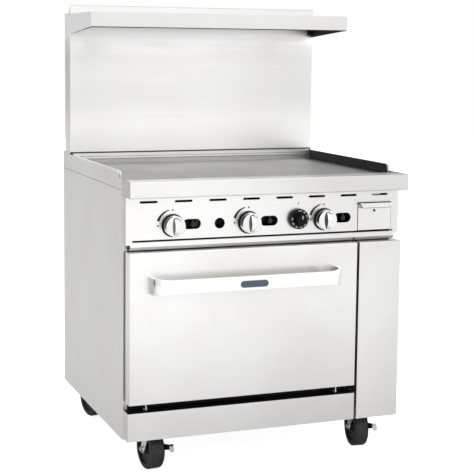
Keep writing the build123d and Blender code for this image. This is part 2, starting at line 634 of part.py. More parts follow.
RACK_X = (OVEN_X[0] + 6, OVEN_X[1] - 6)
RACK_Y = (d(148), d(706))
RACK_Z = GUIDE_LEDGES[1] + 3.5 + GAP
with BuildPart() as oven_rack:
    for y in RACK_Y:
        rod_x((RACK_X[0] - 3, RACK_X[1] + 3), y, RACK_Z, 3.5)
    for x in RACK_X:
        rod_y(x, (RACK_Y[0] - 3, RACK_Y[1] + 3), RACK_Z, 3.5)
    rod_x(RACK_X, (RACK_Y[0] + RACK_Y[1]) / 2, RACK_Z - 1, 3)
    for i in range(1, 20):
        x = RACK_X[0] + i * (RACK_X[1] - RACK_X[0]) / 20
        rod_y(x, RACK_Y, RACK_Z + 1.5, 2)
finish(oven_rack, "oven_rack")

with BuildPart() as oven_face_frame:
    block((-439, PARTITION_X), (Y_FRAME, OVEN_Y[0]), (Z_KICK[1] - 2, Z_STRIP - 0.5))
    block((-X_BODY + T + 0.3, X_SPLIT_L - T - 0.3), (Y_FACE + T + 0.3, Y_FRAME), (Z_KICK[1] - 2, Z_KICK[1]))
    block(OVEN_X, (Y_FRAME - 1, OVEN_Y[0] + 1), OVEN_Z, Mode.SUBTRACT)
finish(oven_face_frame, "oven_face_frame")

with BuildPart() as door_gasket:
    block((OVEN_X[0] - 14, OVEN_X[1] + 14), (d(44.4), Y_FRAME), (OVEN_Z[0] - 14, OVEN_Z[1] + 14))
    fillet(door_gasket.edges().filter_by(Axis.Y), radius=14)
    block((OVEN_X[0] - 2, OVEN_X[1] + 2), (d(43), Y_FRAME + 1), (OVEN_Z[0] - 2, OVEN_Z[1] + 2), Mode.SUBTRACT)
    fillet(door_gasket.faces().sort_by(Axis.Y)[0].outer_wire().edges(), radius=3)
finish(door_gasket, "door_gasket")

with BuildPart() as flue_duct:
    block((VENT_X - 50, VENT_X + 50), DUCT_Y, (560, 940))
    block((VENT_X - 50 + T, VENT_X + 50 - T), (DUCT_Y[0] + T, DUCT_Y[1] - T), (560 + T, 941), Mode.SUBTRACT)
    rod_y(VENT_X, (DUCT_Y[0] - 1, DUCT_Y[0] + 5), 610, 30, Mode.SUBTRACT)
finish(flue_duct, "flue_duct")

# ---------------------------------------------------------------- oven door
DOOR_X = (X_DOOR, X_SPLIT_L)
DOOR_BACK = d(42)
with BuildPart() as door_outer_skin:
    block(DOOR_X, (Y_FACE, DOOR_BACK), Z_DOOR)
    fillet(door_outer_skin.faces().sort_by(Axis.Y)[0].edges(), radius=2)
    block(
        (DOOR_X[0] + T, DOOR_X[1] - T),
        (Y_FACE + T, DOOR_BACK + 1),
        (Z_DOOR[0] + T, Z_DOOR[1] - T),
        Mode.SUBTRACT,
    )
finish(door_outer_skin, "door_outer_skin")

with BuildPart() as door_insulation:
    block(
        (DOOR_X[0] + T + 0.5, DOOR_X[1] - T - 0.5),
        (Y_FACE + T + 0.5, DOOR_BACK - 0.2),
        (Z_DOOR[0] + T + 0.5, Z_DOOR[1] - T - 0.5),
    )
finish(door_insulation, "door_insulation")

PLUG_X = (OVEN_X[0] + 6, OVEN_X[1] - 6)
PLUG_Z = (OVEN_Z[0] + 6, OVEN_Z[1] - 6)
with BuildPart() as door_inner_panel:
    block(DOOR_X, (DOOR_BACK, DOOR_BACK + 2), Z_DOOR)
    block(PLUG_X, (DOOR_BACK, DOOR_BACK + 8), PLUG_Z)
    block(
        (PLUG_X[0] + T, PLUG_X[1] - T),
        (DOOR_BACK - 1, DOOR_BACK + 8 - T),
        (PLUG_Z[0] + T, PLUG_Z[1] - T),
        Mode.SUBTRACT,
    )
finish(door_inner_panel, "door_inner_panel")

HANDLE_MID = -77.0
HANDLE_HALF = 310.0
HANDLE_OUT = 58.0
HANDLE_Z = 608.0
HANDLE_BAR = 8.0
HANDLE_H = 42.0  # height of the bar
FOOT_H = 52.0  # height of its two feet
with BuildPart() as door_handle:
    with BuildSketch(Plane.XY.offset(HANDLE_Z - FOOT_H / 2)):
        with Locations((HANDLE_MID, Y_FACE)):
            RectangleRounded(2 * HANDLE_HALF, 2 * HANDLE_OUT, 44)
            RectangleRounded(2 * (HANDLE_HALF - HANDLE_BAR), 2 * (HANDLE_OUT - HANDLE_BAR), 36, mode=Mode.SUBTRACT)
        with Locations((HANDLE_MID, Y_FACE + 50)):
            Rectangle(800, 100, mode=Mode.SUBTRACT)
    extrude(amount=FOOT_H)
    # the bar is waisted between its two feet
    with BuildSketch(Plane.XZ.offset(-Y_FACE)) as waist:
        for side in (-1, 1):
            with BuildLine():
                Polyline(
                    (HANDLE_MID - HANDLE_HALF + 6, HANDLE_Z + side * FOOT_H / 2),
                    (HANDLE_MID - HANDLE_HALF + 52, HANDLE_Z + side * HANDLE_H / 2),
                    (HANDLE_MID + HANDLE_HALF - 52, HANDLE_Z + side * HANDLE_H / 2),
                    (HANDLE_MID + HANDLE_HALF - 6, HANDLE_Z + side * FOOT_H / 2),
                    (HANDLE_MID + HANDLE_HALF - 6, HANDLE_Z + side * (FOOT_H / 2 + 5)),
                    (HANDLE_MID - HANDLE_HALF + 6, HANDLE_Z + side * (FOOT_H / 2 + 5)),
                    close=True,
                )
            make_face()
    extrude(amount=HANDLE_OUT + 2, mode=Mode.SUBTRACT)
finish(door_handle, "door_handle")

with BuildPart() as door_hinge_arms:
    for x in HINGE_X:
        with BuildSketch(Plane.YZ.offset(x - 1.5)):
            with BuildLine():
                Polyline(
                    (HINGE_Y - 7, HINGE_Z),
                    (HINGE_Y - 7, Z_DOOR[0]),
                    (HINGE_Y + 20, Z_DOOR[0]),
                    (HINGE_Y + 20, HINGE_Z + 7),
                    (HINGE_Y + 7, HINGE_Z),
                    close=True,
                )
            make_face()
            with Locations((HINGE_Y, HINGE_Z)):
                Circle(7)
        extrude(amount=3)
        rod_x((x - 4, x + 4), HINGE_Y, HINGE_Z, HINGE_PIN_R + RUN, Mode.SUBTRACT)
finish(door_hinge_arms, "door_hinge_arms")

with BuildPart() as hinge_brackets:
    for x in HINGE_X:
        block((x - 5, x + 5), (d(2), d(44)), (Z_KICK[1], Z_KICK[1] + 2))
        for ear in (x - 4.5, x + 2.5):
            with BuildSketch(Plane.YZ.offset(ear)):
                with BuildLine():
                    Polyline(
                        (HINGE_Y - 6, Z_KICK[1]),
                        (HINGE_Y - 6, HINGE_Z),
                        (HINGE_Y + 6, HINGE_Z + 2),
                        (HINGE_Y + 20, Z_KICK[1]),
                        close=True,
                    )
                make_face()
                with Locations((HINGE_Y, HINGE_Z)):
                    Circle(6.5)
            extrude(amount=2)
        rod_x((x - 8, x + 8), HINGE_Y, HINGE_Z, HINGE_PIN_R, Mode.SUBTRACT)
finish(hinge_brackets, "hinge_brackets")

with BuildPart() as hinge_pins:
    for x in HINGE_X:
        rod_x((x - 6, x + 6), HINGE_Y, HINGE_Z, HINGE_PIN_R)
finish(hinge_pins, "hinge_pins")

# ---------------------------------------------------------------- casters
PLATE_Z = (154.0, Z_FRAME[0])
RACE_Z = 144.0
FORK_Z = (138.0, 143.5)
with BuildPart() as caster_plates:
    for stem_x, stem_y, _ in CASTERS.values():
        block((stem_x - 45, stem_x + 45), (stem_y - 45, stem_y + 45), PLATE_Z)
        rod_z(stem_x, stem_y, (RACE_Z, PLATE_Z[0]), 29)
    for stem_x, stem_y, _ in CASTERS.values():
        rod_z(stem_x, stem_y, (RACE_Z - 1, PLATE_Z[1] + 1), AXLE_R + RUN, Mode.SUBTRACT)
        with Locations((stem_x, stem_y, PLATE_Z[1])):
            with GridLocations(BOLT_PITCH, BOLT_PITCH, 2, 2):
                Cylinder(4.5, 12, mode=Mode.SUBTRACT)
finish(caster_plates, "caster_plates")

with BuildPart() as caster_bolts:
    for stem_x, stem_y, _ in CASTERS.values():
        with Locations((stem_x, stem_y, 0)):
            with GridLocations(BOLT_PITCH, BOLT_PITCH, 2, 2):
                with Locations((0, 0, (149 + 168) / 2)):
                    Cylinder(4, 168 - 149)
                with Locations((0, 0, (149 + PLATE_Z[0]) / 2)):
                    Cylinder(6.5, PLATE_Z[0] - 149)
                with Locations((0, 0, 165)):
                    Cylinder(6.5, 6)
finish(caster_bolts, "caster_bolts")


def caster_side(stem_x, stem_y, swivel):
    """Upright plane through a king pin: its x runs along the trail and its y up."""
    trail = Vector(sin(radians(swivel)), cos(radians(swivel)), 0)
    return Plane(origin=(stem_x, stem_y, 0), x_dir=trail, z_dir=trail.cross(Vector(0, 0, 1)))


def caster_fork(stem_x, stem_y, swivel, brake):
    """Swivel fork with its king pin and its axle bolt."""
    side = caster_side(stem_x, stem_y, swivel)
    with BuildPart() as fork:
        for inner in (-LEG_OUT, LEG_IN):
            with BuildSketch(side.offset(inner)):
                with BuildLine():
                    Line((-22, FORK_Z[1]), (24, FORK_Z[1]))
                    CenterArc((TRAIL, WHEEL_R), 12, 0, 360)
                make_hull()
            extrude(amount=LEG_OUT - LEG_IN)
        with BuildSketch(side.offset(-LEG_OUT)):
            with Locations((1, (FORK_Z[0] + FORK_Z[1]) / 2)):
                Rectangle(46, FORK_Z[1] - FORK_Z[0])
        extrude(amount=2 * LEG_OUT)
        for start, length, radius in (
            (-LEG_OUT - 4, 4, 9),
            (-LEG_OUT - 1, 2 * LEG_OUT + (7 if brake else 2), AXLE_R),
            (LEG_OUT + (5 if brake else 0), 4, 9),
        ):
            with BuildSketch(side.offset(start)):
                with Locations((TRAIL, WHEEL_R)):
                    Circle(radius)
            extrude(amount=length)
        rod_z(stem_x, stem_y, (FORK_Z[0], PLATE_Z[1] - 1), AXLE_R)
    return fork


def caster_wheel(stem_x, stem_y, swivel):
    """Wheel with rounded shoulders, dished sides and a hub."""
    side = caster_side(stem_x, stem_y, swivel)
    with BuildPart() as wheel:
        with BuildSketch(side.offset(-WHEEL_W / 2)):
            with Locations((TRAIL, WHEEL_R)):
                Circle(WHEEL_R)
        extrude(amount=WHEEL_W)
        fillet(wheel.edges().filter_by(GeomType.CIRCLE), radius=7)
        for face, depth in ((-WHEEL_W / 2, 6), (WHEEL_W / 2, -6)):
            with BuildSketch(side.offset(face)):
                with Locations((TRAIL, WHEEL_R)):
                    Circle(46)
                    Circle(17, mode=Mode.SUBTRACT)
            extrude(amount=depth, mode=Mode.SUBTRACT)
        with BuildSketch(side.offset(-LEG_IN + 1.5)):
            with Locations((TRAIL, WHEEL_R)):
                Circle(15)
        extrude(amount=2 * LEG_IN - 3)
        with BuildSketch(side.offset(-LEG_IN)):
            with Locations((TRAIL, WHEEL_R)):
                Circle(AXLE_R + RUN)
        extrude(amount=2 * LEG_IN, mode=Mode.SUBTRACT)
    return wheel


def caster_brake(stem_x, stem_y, swivel):
    """Brake lever beside the fork, with a foot pad in front of the wheel."""
    side = caster_side(stem_x, stem_y, swivel)
    with BuildPart() as brake:
        with BuildSketch(side.offset(LEG_OUT + 0.6)):
            with BuildLine():
                CenterArc((TRAIL, WHEEL_R), 11, 0, 360)
                CenterArc((-36, 83), 8, 0, 360)
            make_hull()
            with Locations((TRAIL, WHEEL_R)):
                Circle(AXLE_R + RUN, mode=Mode.SUBTRACT)
        extrude(amount=3.8)
        with BuildSketch(side.offset(LEG_OUT + 1)):
            with Locations((-45, 82)):
                Rectangle(24, 4, rotation=60)
        extrude(amount=13)
        with BuildSketch(side.offset(LEG_OUT + 0.6)):
            with Locations((-40, 83)):
                Rectangle(12, 8)
        extrude(amount=3.8)
    return brake


for place, (stem_x, stem_y, swivel) in CASTERS.items():
    braked = place.startswith("front")
    finish(caster_fork(stem_x, stem_y, swivel, braked), f"caster_fork_{place}")
    finish(caster_wheel(stem_x, stem_y, swivel), f"caster_wheel_{place}")
    if braked:
        finish(caster_brake(stem_x, stem_y, swivel), f"brake_pedal_{place}")
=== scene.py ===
import math

import bmesh
import bpy
from mathutils import Matrix, Vector


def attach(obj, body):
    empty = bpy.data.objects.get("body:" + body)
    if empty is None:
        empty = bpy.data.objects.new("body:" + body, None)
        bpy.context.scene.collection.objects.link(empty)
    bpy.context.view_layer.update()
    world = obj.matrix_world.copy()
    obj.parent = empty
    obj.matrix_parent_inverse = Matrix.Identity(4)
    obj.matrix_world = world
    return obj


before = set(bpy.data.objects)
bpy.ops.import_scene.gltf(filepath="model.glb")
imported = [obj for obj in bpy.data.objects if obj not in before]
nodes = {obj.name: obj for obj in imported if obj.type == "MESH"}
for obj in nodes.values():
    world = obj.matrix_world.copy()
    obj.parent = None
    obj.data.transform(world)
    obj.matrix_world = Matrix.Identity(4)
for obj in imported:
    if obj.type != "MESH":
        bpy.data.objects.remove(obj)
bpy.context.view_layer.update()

scene = bpy.context.scene

# ------------------------------------------------------------------ materials


class Nodes:
    """Builds one node tree, a node at a time."""

    def __init__(self, tree):
        self.tree = tree

    def add(self, kind, **settings):
        node = self.tree.nodes.new(kind)
        for key, value in settings.items():
            setattr(node, key, value)
        return node

    def link(self, a, b):
        self.tree.links.new(a, b)

    def coords(self, scale=(1, 1, 1), rotation=(0, 0, 0)):
        coord = self.add("ShaderNodeTexCoord")
        mapping = self.add("ShaderNodeMapping")
        mapping.inputs["Scale"].default_value = scale
        mapping.inputs["Rotation"].default_value = rotation
        self.link(coord.outputs["Object"], mapping.inputs["Vector"])
        return mapping.outputs["Vector"]

    def axes(self):
        """X, Y and Z of the object's own frame, in metres."""
        split = self.add("ShaderNodeSeparateXYZ")
        self.link(self.coords(), split.inputs["Vector"])
        return split.outputs

    def noise(self, vector, scale, detail=4.0, rough=0.55, distortion=0.0):
        n = self.add("ShaderNodeTexNoise")
        n.inputs["Scale"].default_value = scale
        n.inputs["Detail"].default_value = detail
        n.inputs["Roughness"].default_value = rough
        n.inputs["Distortion"].default_value = distortion
        self.link(vector, n.inputs["Vector"])
        return n.outputs["Fac"]

    def ramp(self, value, low, high, out_low, out_high, smooth=False):
        m = self.add("ShaderNodeMapRange")
        m.interpolation_type = "SMOOTHSTEP" if smooth else "LINEAR"
        m.inputs["From Min"].default_value = low
        m.inputs["From Max"].default_value = high
        m.inputs["To Min"].default_value = out_low
        m.inputs["To Max"].default_value = out_high
        self.link(value, m.inputs["Value"])
        return m.outputs["Result"]

    def math(self, op, a, b):
        m = self.add("ShaderNodeMath", operation=op)
        for socket, value in zip(m.inputs, (a, b)):
            if isinstance(value, (int, float)):
                socket.default_value = value
            else:
                self.link(value, socket)
        return m.outputs["Value"]

    def mix(self, fac, a, b, blend="MIX"):
        m = self.add("ShaderNodeMix", data_type="RGBA", blend_type=blend)
        for socket, value in ((m.inputs["Factor"], fac), (m.inputs["A"], a), (m.inputs["B"], b)):
            if isinstance(value, (int, float)):
                socket.default_value = value
            elif isinstance(value, (tuple, list)):
                socket.default_value = (*value[:3], 1.0)
            else:
                self.link(value, socket)
        return m.outputs["Result"]

    def tone(self, base, grades, facings):
        """Paints light and shade into a colour, graded along the axes and by the way a face looks.

        A grade is (axis, from, to, factor at from, factor at to).
        A facing has a direction in place of the axis."""
        for axis, start, end, low, high in grades:
            factor = self.ramp(self.axes()[axis], start, end, low, high, True)
            base = self.mix(1.0, base, factor, "MULTIPLY")
        for direction, start, end, low, high in facings:
            dot = self.add("ShaderNodeVectorMath", operation="DOT_PRODUCT")
            dot.inputs[1].default_value = direction
            self.link(self.add("ShaderNodeTexCoord").outputs["Normal"], dot.inputs[0])
            factor = self.ramp(dot.outputs["Value"], start, end, low, high, True)
            base = self.mix(1.0, base, factor, "MULTIPLY")
        return base

    def bump(self, height, strength, distance, normal=None):
        b = self.add("ShaderNodeBump")
        b.inputs["Strength"].default_value = strength
        b.inputs["Distance"].default_value = distance
        self.link(height, b.inputs["Height"])
        if normal is not None:
            self.link(normal, b.inputs["Normal"])
        return b.outputs["Normal"]


def new_material(name):
    mat = bpy.data.materials.new(name)
    mat.use_nodes = True
    tree = mat.node_tree
    tree.nodes.clear()
    n = Nodes(tree)
    shader = n.add("ShaderNodeBsdfPrincipled")
    out = n.add("ShaderNodeOutputMaterial")
    n.link(shader.outputs["BSDF"], out.inputs["Surface"])
    return mat, n, shader


GRAIN_X = (3.0, 900.0, 900.0)  # brushed along X
GRAIN_Y = (900.0, 3.0, 900.0)
GRAIN_Z = (900.0, 900.0, 3.0)


def brushed(name, color, rough, grain=GRAIN_X, depth=0.25, soil=0.06, warm=(1.0, 0.985, 0.96),
            grades=(), facings=(), wave=0.10):
    """Brushed sheet: fine grain in colour, roughness and bump, slow clouding, faint smears and soiling,
    with light and shade painted in by its grades and facings.
    """
    mat, n, shader = new_material(name)
    fine = n.noise(n.coords(grain), 1.0, 3.0, 0.6)
    streak = n.noise(n.coords([v * 0.12 if v > 10 else v * 0.6 for v in grain]), 1.0, 2.0, 0.5)
    cloud = n.noise(n.coords(), 3.2, 4.0, 0.55, 0.3)
    smear = n.noise(n.coords((6.0, 6.0, 14.0), (0.2, 0.4, 0.3)), 1.0, 5.0, 0.6, 0.8)
    spot = n.noise(n.coords(), 180.0, 2.0, 0.5)
    dark = tuple(c * (1.0 - soil) * w for c, w in zip(color, warm))
    base = n.mix(n.ramp(cloud, 0.35, 0.72, 0.0, 1.0, True), color, dark)
    base = n.mix(n.ramp(fine, 0.3, 0.7, 0.0, 0.16), base, tuple(c * 0.86 for c in color))
    base = n.mix(n.ramp(spot, 0.73, 0.8, 0.0, 0.10, True), base, tuple(c * 0.6 for c in color))
    # the grades and facings paint light and shade into the colour
    n.link(n.tone(base, grades, facings), shader.inputs["Base Color"])
    shader.inputs["Metallic"].default_value = 1.0
    roughness = n.ramp(fine, 0.25, 0.75, rough - 0.05, rough + 0.06)
    roughness = n.math("ADD", roughness, n.ramp(streak, 0.3, 0.7, -0.03, 0.03))
    roughness = n.math("ADD", roughness, n.ramp(smear, 0.52, 0.72, 0.0, 0.07, True))
    n.link(roughness, shader.inputs["Roughness"])
    normal = n.bump(fine, depth, 0.00012)
    normal = n.bump(n.noise(n.coords(), 5.0, 2.0, 0.4), wave, 0.0015, normal)
    n.link(normal, shader.inputs["Normal"])
    return mat


def painted(name, color, rough, coat=0.0, peel=0.12, metallic=0.0, soil=0.08, specular=0.5,
            facings=()):
    """Paint, enamel or moulded plastic with a fine peel, clouding and small scuffs, with shade and
    reflections painted in by its facings.
    """
    mat, n, shader = new_material(name)
    cloud = n.noise(n.coords(), 6.0, 4.0, 0.6)
    fine = n.noise(n.coords(), 420.0, 3.0, 0.6)
    scuff = n.noise(n.coords((60, 60, 18), (0.3, 0.1, 0.6)), 1.0, 5.0, 0.7, 1.2)
    base = n.mix(n.ramp(cloud, 0.35, 0.7, 0.0, 1.0, True), color, tuple(c * (1 - soil) for c in color))
    base = n.mix(n.ramp(fine, 0.35, 0.65, 0.0, 0.12), base, tuple(min(1.0, c * 1.25 + 0.01) for c in color))
    scraped = tuple(min(1.0, c * 1.5 + 0.03) for c in color)
    base = n.mix(n.ramp(scuff, 0.66, 0.74, 0.0, 0.25, True), base, scraped)
    # the facings paint shade and reflections into the colour
    n.link(n.tone(base, (), facings), shader.inputs["Base Color"])
    shader.inputs["Metallic"].default_value = metallic
    shader.inputs["Coat Weight"].default_value = coat
    shader.inputs["Specular IOR Level"].default_value = specular
    shader.inputs["Coat Roughness"].default_value = 0.15
    roughness = n.ramp(fine, 0.3, 0.7, rough - 0.04, rough + 0.05)
    roughness = n.math("ADD", roughness, n.ramp(cloud, 0.3, 0.7, -0.03, 0.04))
    n.link(roughness, shader.inputs["Roughness"])
    n.link(n.bump(fine, peel, 0.0003), shader.inputs["Normal"])
    return mat


def rubber(name, color):
    """Hard caster rubber: dusty scuffs and a fine grain."""
    mat, n, shader = new_material(name)
    dust = n.noise(n.coords(), 45.0, 6.0, 0.7, 0.5)
    fine = n.noise(n.coords(), 900.0, 2.0, 0.5)
    wide = n.noise(n.coords(), 14.0, 3.0, 0.6)
    base = n.mix(n.ramp(dust, 0.52, 0.75, 0.0, 0.55, True), color, tuple(c * 2.6 + 0.015 for c in color))
    base = n.mix(n.ramp(wide, 0.4, 0.7, 0.0, 0.5, True), base, tuple(c * 0.7 for c in color))
    n.link(base, shader.inputs["Base Color"])
    n.link(n.ramp(dust, 0.3, 0.7, 0.42, 0.62), shader.inputs["Roughness"])
    n.link(n.bump(fine, 0.25, 0.0003, n.bump(dust, 0.15, 0.0006)), shader.inputs["Normal"])
    return mat


def griddle_surface(name):
    """Ground steel plate: fine scratches both ways, faint heat tints and old grease rings."""
    mat, n, shader = new_material(name)
    along = n.noise(n.coords((700.0, 3.0, 700.0), (0, 0, 0.12)), 1.0, 3.0, 0.6)
    across = n.noise(n.coords((3.0, 500.0, 500.0), (0, 0, -0.3)), 1.0, 3.0, 0.6)
    cloud = n.noise(n.coords(), 2.4, 5.0, 0.6, 0.4)
    ring = n.noise(n.coords(), 11.0, 6.0, 0.65, 1.5)
    base = n.mix(n.ramp(cloud, 0.3, 0.72, 0.0, 1.0, True), (0.36, 0.36, 0.36), (0.32, 0.317, 0.314))
    base = n.mix(n.ramp(ring, 0.56, 0.72, 0.0, 0.35, True), base, (0.33, 0.32, 0.305))
    base = n.mix(n.ramp(along, 0.3, 0.7, 0.0, 0.18), base, (0.29, 0.29, 0.29))
    n.link(base, shader.inputs["Base Color"])
    shader.inputs["Metallic"].default_value = 1.0
    roughness = n.math("ADD", n.ramp(along, 0.3, 0.7, 0.34, 0.48), n.ramp(cloud, 0.3, 0.7, -0.04, 0.06))
    n.link(roughness, shader.inputs["Roughness"])
    n.link(n.bump(along, 0.2, 0.00015, n.bump(across, 0.15, 0.00015)), shader.inputs["Normal"])
    return mat


def wool_material(name):
    """Mineral wool batt, with painted shade that makes it nearly black towards the front."""
    mat, n, shader = new_material(name)
    clump = n.noise(n.coords(), 60.0, 6.0, 0.7, 0.8)
    fibre = n.noise(n.coords((300.0, 40.0, 300.0)), 1.0, 4.0, 0.7, 1.0)
    axes = n.axes()
    base = n.mix(n.ramp(clump, 0.3, 0.7, 0.0, 1.0), (0.74, 0.66, 0.42), (0.56, 0.47, 0.27))
    # painted shade: the wool turns nearly black in front of y -0.300
    base = n.mix(1.0, base, n.ramp(axes["Y"], -0.325, -0.300, 0.06, 1.0), "MULTIPLY")
    n.link(base, shader.inputs["Base Color"])
    n.link(n.ramp(fibre, 0.2, 0.8, 0.85, 1.0), shader.inputs["Roughness"])
    n.link(n.bump(clump, 0.7, 0.003, n.bump(fibre, 0.5, 0.001)), shader.inputs["Normal"])
    return mat


def brake_material(name):
    """Black lever with a worn grey foot pad in front of it."""
    mat, n, shader = new_material(name)
    axes = n.axes()
    fine = n.noise(n.coords(), 420.0, 3.0, 0.6)
    wear = n.noise(n.coords(), 70.0, 4.0, 0.6)
    pad = n.mix(n.ramp(wear, 0.4, 0.7, 0.0, 1.0, True), (0.66, 0.66, 0.66), (0.52, 0.52, 0.52))
    base = n.mix(n.ramp(axes["Y"], -0.3205, -0.3200, 0.0, 1.0), pad, (0.012, 0.012, 0.012))
    n.link(base, shader.inputs["Base Color"])
    n.link(n.ramp(fine, 0.3, 0.7, 0.42, 0.56), shader.inputs["Roughness"])
    n.link(n.bump(fine, 0.25, 0.0003), shader.inputs["Normal"])
    return mat


def splash_material(name):
    """Griddle splashes: near black on the right, bare ground steel on the left."""
    mat, n, shader = new_material(name)
    axes = n.axes()
    left = n.ramp(axes["X"], -0.2, 0.2, 1.0, 0.0)
    fine = n.noise(n.coords(), 420.0, 3.0, 0.6)
    cloud = n.noise(n.coords(), 9.0, 4.0, 0.6)
    bare = n.mix(n.ramp(cloud, 0.35, 0.7, 0.0, 1.0, True), (0.74, 0.74, 0.735), (0.64, 0.635, 0.63))
    near_black = n.mix(n.ramp(cloud, 0.35, 0.7, 0.0, 1.0, True), (0.010, 0.010, 0.011), (0.006, 0.006, 0.007))
    n.link(n.mix(left, near_black, bare), shader.inputs["Base Color"])
    n.link(n.math("MULTIPLY", left, 0.9), shader.inputs["Metallic"])
    shader.inputs["Specular IOR Level"].default_value = 0.2
    n.link(n.ramp(fine, 0.3, 0.7, 0.36, 0.48), shader.inputs["Roughness"])
    n.link(n.bump(fine, 0.25, 0.0003), shader.inputs["Normal"])
    return mat


def handle_material(name):
    """Polished bar with a blank inlaid nameplate in its face, a bar with round ends and a pale rim, with
    painted shade on the ends.
    """
    plate_x, plate_z, straight_half, plate_r = -0.073, 0.606, 0.035, 0.0103
    # painted shade on the faces of the bar that look left and right
    mat = brushed(name, (1.0, 1.0, 1.0), 0.18, depth=0.08, soil=0.01,
                  facings=((LEFT, 0.75, 0.98, 1.0, 0.5), (RIGHT, 0.8, 0.98, 1.0, 0.25)))
    n = Nodes(mat.node_tree)
    shader = next(node for node in mat.node_tree.nodes if node.type == "BSDF_PRINCIPLED")
    steel = shader.inputs["Base Color"].links[0].from_socket
    axes = n.axes()
    along = n.math("ABSOLUTE", n.math("SUBTRACT", axes["X"], plate_x), 0.0)
    along = n.math("MAXIMUM", n.math("SUBTRACT", along, straight_half), 0.0)
    up = n.math("SUBTRACT", axes["Z"], plate_z)
    reach = n.math("SQRT", n.math("ADD", n.math("MULTIPLY", along, along), n.math("MULTIPLY", up, up)), 0.0)
    front = n.ramp(axes["Y"], -0.4376, -0.4372, 1.0, 0.0)
    plate = n.math("MULTIPLY", n.ramp(reach, plate_r, plate_r + 0.0002, 1.0, 0.0), front)
    rim = n.math("MULTIPLY", n.ramp(reach, plate_r, plate_r + 0.0007, 1.0, 0.0), front)
    fleck = n.noise(n.coords(), 260.0, 3.0, 0.6)
    slate = n.mix(n.ramp(fleck, 0.35, 0.65, 0.0, 1.0), (0.045, 0.075, 0.125), (0.060, 0.095, 0.150))
    base = n.mix(rim, steel, (0.35, 0.36, 0.38))
    n.link(n.mix(plate, base, slate), shader.inputs["Base Color"])
    n.link(n.math("SUBTRACT", 1.0, plate), shader.inputs["Metallic"])
    return mat


def braid_material(name):
    """Braided glass-fibre door seal."""
    mat, n, shader = new_material(name)
    w = n.add("ShaderNodeTexWave", wave_type="BANDS", bands_direction="DIAGONAL")
    w.inputs["Scale"].default_value = 90.0
    w.inputs["Distortion"].default_value = 1.5
    n.link(n.coords(), w.inputs["Vector"])
    fine = n.noise(n.coords(), 600.0, 3.0, 0.6)
    n.link(n.mix(w.outputs["Fac"], (0.05, 0.05, 0.05), (0.14, 0.14, 0.135)), shader.inputs["Base Color"])
    n.link(n.ramp(fine, 0.3, 0.7, 0.75, 0.95), shader.inputs["Roughness"])
    n.link(n.bump(w.outputs["Fac"], 0.6, 0.0008, n.bump(fine, 0.2, 0.0003)), shader.inputs["Normal"])
    return mat


STEEL = (0.95, 0.95, 0.945)
LEFT = (-1.0, 0.0, 0.0)
RIGHT = (1.0, 0.0, 0.0)
UP = (0.0, 0.0, 1.0)
DOWN = (0.0, 0.0, -1.0)
UPPER_LEFT = (-0.85, 0.0, 0.5)
FORWARDS = (0.0, -1.0, 0.0)
BACKWARDS = (0.0, 1.0, 0.0)
